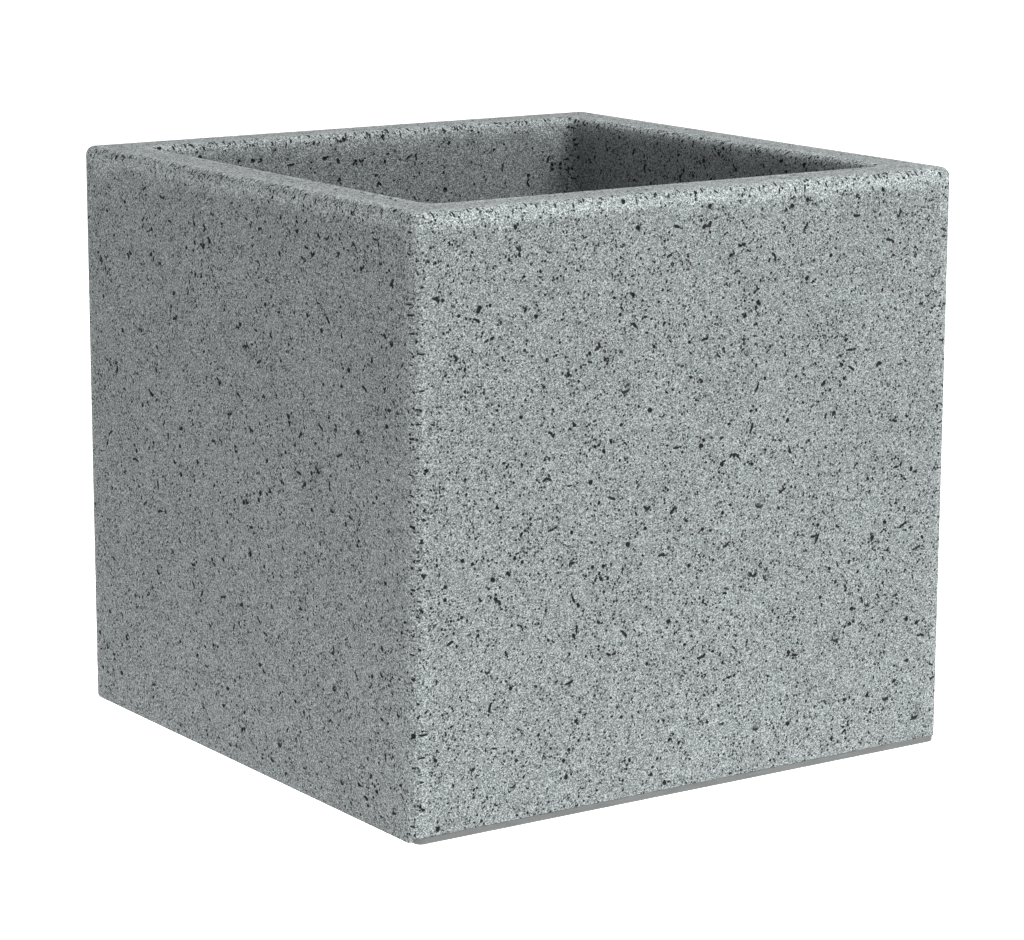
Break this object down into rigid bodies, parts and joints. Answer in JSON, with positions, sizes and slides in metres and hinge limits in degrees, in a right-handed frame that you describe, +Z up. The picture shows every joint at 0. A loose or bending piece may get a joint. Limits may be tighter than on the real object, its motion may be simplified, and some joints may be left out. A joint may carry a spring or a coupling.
{
  "type": "planter box",
  "caption": "Cube planter box with a stone-textured double wall, a wide square opening, a drain plug underneath and a lift-out drainage grid.",
  "frame": {"origin": "on the ground under the centre of the box, at the level of the feet's undersides", "axes": "+Z up through the planting opening, the front faces -Y, +X to the right seen from the front"},
  "size_m": [0.39, 0.39, 0.363],
  "materials": {
    "stone_plastic": "pitted stone texture, grey",
    "smooth_plastic": "smooth matt grey",
    "black_plastic": "fine satin",
    "foot_rubber": "matt black rubber",
    "seal_rubber": "smooth black rubber",
    "screw_steel": "zinc plated"
  },
  "bodies": {
    "planter": {"planter_shell": "stone_plastic", "fixing_blocks": "black_plastic", "base_plate": "smooth_plastic", "base_screws": "screw_steel", "floor_support": "black_plastic", "foot_front_left": "foot_rubber", "foot_front_right": "foot_rubber", "foot_back_left": "foot_rubber", "foot_back_right": "foot_rubber", "drain_fitting": "black_plastic", "drain_gasket": "seal_rubber", "drain_nut": "black_plastic"},
    "plug_seal": {"plug_seal": "seal_rubber"},
    "drain_plug": {"drain_plug": "black_plastic"},
    "drain_grid": {"drain_grid": "black_plastic", "grid_legs": "black_plastic"}
  },
  "joints": [
    {"name": "grid_lift", "type": "slide", "parent": "planter", "child": "drain_grid", "axis": [0, 0, 1], "range_m": [0, 0.34]},
    {"name": "plug_travel", "type": "slide", "parent": "planter", "child": "plug_seal", "axis": [0, 0, -1], "range_m": [0, 0.0262]},
    {"name": "plug_turn", "type": "hinge", "parent": "plug_seal", "child": "drain_plug", "pos_m": [0, 0, 0], "axis": [0, 0, -1], "range_deg": [0, 2340]}
  ],
  "couplings": [
    {"joint": "plug_travel", "follows": "plug_turn", "m_per_rad": 0.00063662}
  ]
}
